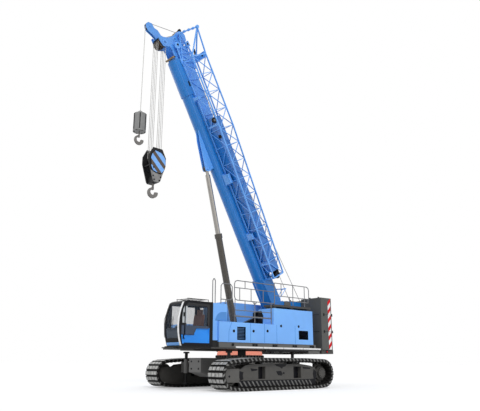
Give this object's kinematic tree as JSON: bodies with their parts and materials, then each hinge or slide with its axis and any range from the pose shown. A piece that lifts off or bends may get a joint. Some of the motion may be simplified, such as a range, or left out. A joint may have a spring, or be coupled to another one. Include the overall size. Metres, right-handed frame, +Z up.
{
  "type": "telescopic crawler crane",
  "caption": "Telescopic boom crane on crawler tracks with a slewing upper, stowed lattice jib, hook block and cab.",
  "frame": {"origin": "on the ground, under the slewing axis", "axes": "+X forward, the way the tracks and the boom point; +Y to the left, the cab's side; +Z up"},
  "size_m": [9.3439, 4.75, 14.2866],
  "materials": {
    "panel_blue": "gloss",
    "boom_blue": "gloss",
    "cab_blue": "gloss",
    "frame_grey": "satin",
    "track_steel": "worn",
    "dark_steel": "satin",
    "ring_orange": "satin",
    "rod_chrome": "polished",
    "rope_steel": "stranded",
    "rail_grey": "satin",
    "weight_grey": "satin",
    "hook_dark": "forged",
    "block_dark": "satin",
    "cab_glass": "clear",
    "seat_black": "woven",
    "trim_black": "moulded",
    "stripe_red": "gloss",
    "stripe_white": "gloss",
    "roller_tan": "satin",
    "lamp_clear": "clear"
  },
  "bodies": {
    "undercarriage": {"carbody": "frame_grey", "jack_legs": "dark_steel", "slewing_ring": "ring_orange", "track_left": "track_steel", "track_right": "track_steel", "track_frame_left": "frame_grey", "track_frame_right": "frame_grey", "idlers": "frame_grey", "drive_sprockets": "frame_grey", "track_rollers": "track_steel"},
    "upper": {"turntable_frame": "frame_grey", "boom_cheek_left": "boom_blue", "boom_cheek_right": "boom_blue", "lift_foot_ears": "frame_grey", "deck_skirts": "frame_grey", "side_housing_left": "panel_blue", "side_housing_right": "panel_blue", "housing_grilles": "trim_black", "engine_block": "dark_steel", "rear_locker": "panel_blue", "walkways": "dark_steel", "guardrails": "rail_grey", "tail_carrier": "frame_grey", "counterweight_low": "weight_grey", "counterweight_middle": "weight_grey", "counterweight_top": "weight_grey", "winches": "dark_steel", "cab_floor": "trim_black", "cab_roof": "trim_black", "cab_rear_wall": "trim_black", "cab_front_frame": "trim_black", "cab_right_wall": "trim_black", "cab_door_frame": "trim_black", "cab_glass": "cab_glass", "cab_seat": "seat_black", "cab_console": "trim_black", "cab_roof_guard": "trim_black", "cab_base": "dark_steel"},
    "cab_door": {"cab_door": "cab_blue", "cab_door_glass": "cab_glass"},
    "boom_base": {"boom_base": "boom_blue", "boom_lift_bracket": "boom_blue", "stowed_jib": "boom_blue", "jib_inner_stage": "boom_blue", "jib_sheaves": "dark_steel", "jib_brackets": "boom_blue"},
    "boom_section_2": {"boom_section_2": "boom_blue"},
    "boom_section_3": {"boom_section_3": "boom_blue"},
    "boom_section_4": {"boom_section_4": "boom_blue"},
    "boom_head": {"boom_head": "boom_blue", "head_sheaves": "dark_steel"},
    "lift_rod": {"lift_rod": "rod_chrome"},
    "lift_barrel": {"lift_barrel": "dark_steel"},
    "main_falls": {"main_rope_falls": "rope_steel"},
    "hook_block": {"hook_block": "block_dark"},
    "main_hook": {"main_hook": "hook_dark"},
    "aux_fall": {"aux_rope_fall": "rope_steel"},
    "aux_weight": {"aux_weight": "dark_steel"},
    "aux_hook": {"aux_hook": "hook_dark"}
  },
  "joints": [
    {"name": "slew", "type": "hinge", "parent": "undercarriage", "child": "upper", "pos_m": [0, 0, 1.3], "axis": [0, 0, 1], "continuous": true},
    {"name": "boom_luff", "type": "hinge", "parent": "upper", "child": "boom_base", "pos_m": [-1.84732, 0, 3.20612], "axis": [0, -1, 0], "range_deg": [-61, 19]},
    {"name": "telescope", "type": "slide", "parent": "boom_base", "child": "boom_head", "axis": [0.4848, 0, 0.8746], "range_m": [0, 30.4]},
    {"name": "section_2_slide", "type": "slide", "parent": "boom_base", "child": "boom_section_2", "axis": [0.4848, 0, 0.8746], "range_m": [0, 7.6]},
    {"name": "section_3_slide", "type": "slide", "parent": "boom_base", "child": "boom_section_3", "axis": [0.4848, 0, 0.8746], "range_m": [0, 15.2]},
    {"name": "section_4_slide", "type": "slide", "parent": "boom_base", "child": "boom_section_4", "axis": [0.4848, 0, 0.8746], "range_m": [0, 22.8]},
    {"name": "lift_rod_eye", "type": "hinge", "parent": "boom_base", "child": "lift_rod", "pos_m": [1.85996, 0, 8.64011], "axis": [0, -1, 0], "range_deg": [-3.7, 1.2]},
    {"name": "lift_stroke", "type": "slide", "parent": "lift_rod", "child": "lift_barrel", "axis": [-0.2425, 0, -0.9701], "range_m": [-2.48, 0.78]},
    {"name": "cab_door_hinge", "type": "hinge", "parent": "upper", "child": "cab_door", "pos_m": [3.806, 1.516, 2.2], "axis": [0, 0, -1], "range_deg": [0, 85]},
    {"name": "main_falls_hang", "type": "hinge", "parent": "boom_head", "child": "main_falls", "pos_m": [4.38737, 0, 13.40182], "axis": [0, -1, 0], "range_deg": [-20, 62]},
    {"name": "main_hoist", "type": "slide", "parent": "main_falls", "child": "hook_block", "axis": [0, 0, -1], "range_m": [-4.1, 6.5], "deforming": ["main_rope_falls"]},
    {"name": "main_hook_swivel", "type": "hinge", "parent": "hook_block", "child": "main_hook", "pos_m": [4.38737, 0, 7.4], "axis": [0, 0, 1], "continuous": true},
    {"name": "aux_fall_hang", "type": "hinge", "parent": "boom_head", "child": "aux_fall", "pos_m": [4.93357, 0, 13.96229], "axis": [0, -1, 0], "range_deg": [-20, 62]},
    {"name": "aux_hoist", "type": "slide", "parent": "aux_fall", "child": "aux_weight", "axis": [0, 0, -1], "range_m": [-3.4, 6], "deforming": ["aux_rope_fall"]},
    {"name": "aux_hook_swivel", "type": "hinge", "parent": "aux_weight", "child": "aux_hook", "pos_m": [5.10087, 0, 9.3], "axis": [0, 0, 1], "continuous": true}
  ],
  "couplings": [
    {"joint": "section_2_slide", "follows": "telescope", "ratio": 0.25},
    {"joint": "section_3_slide", "follows": "telescope", "ratio": 0.5},
    {"joint": "section_4_slide", "follows": "telescope", "ratio": 0.75},
    {"joint": "lift_rod_eye", "follows": "boom_luff", "ratio": 0.06},
    {"joint": "lift_stroke", "follows": "boom_luff", "m_per_rad": 2.32},
    {"joint": "main_falls_hang", "follows": "boom_luff", "ratio": -1},
    {"joint": "aux_fall_hang", "follows": "boom_luff", "ratio": -1}
  ]
}
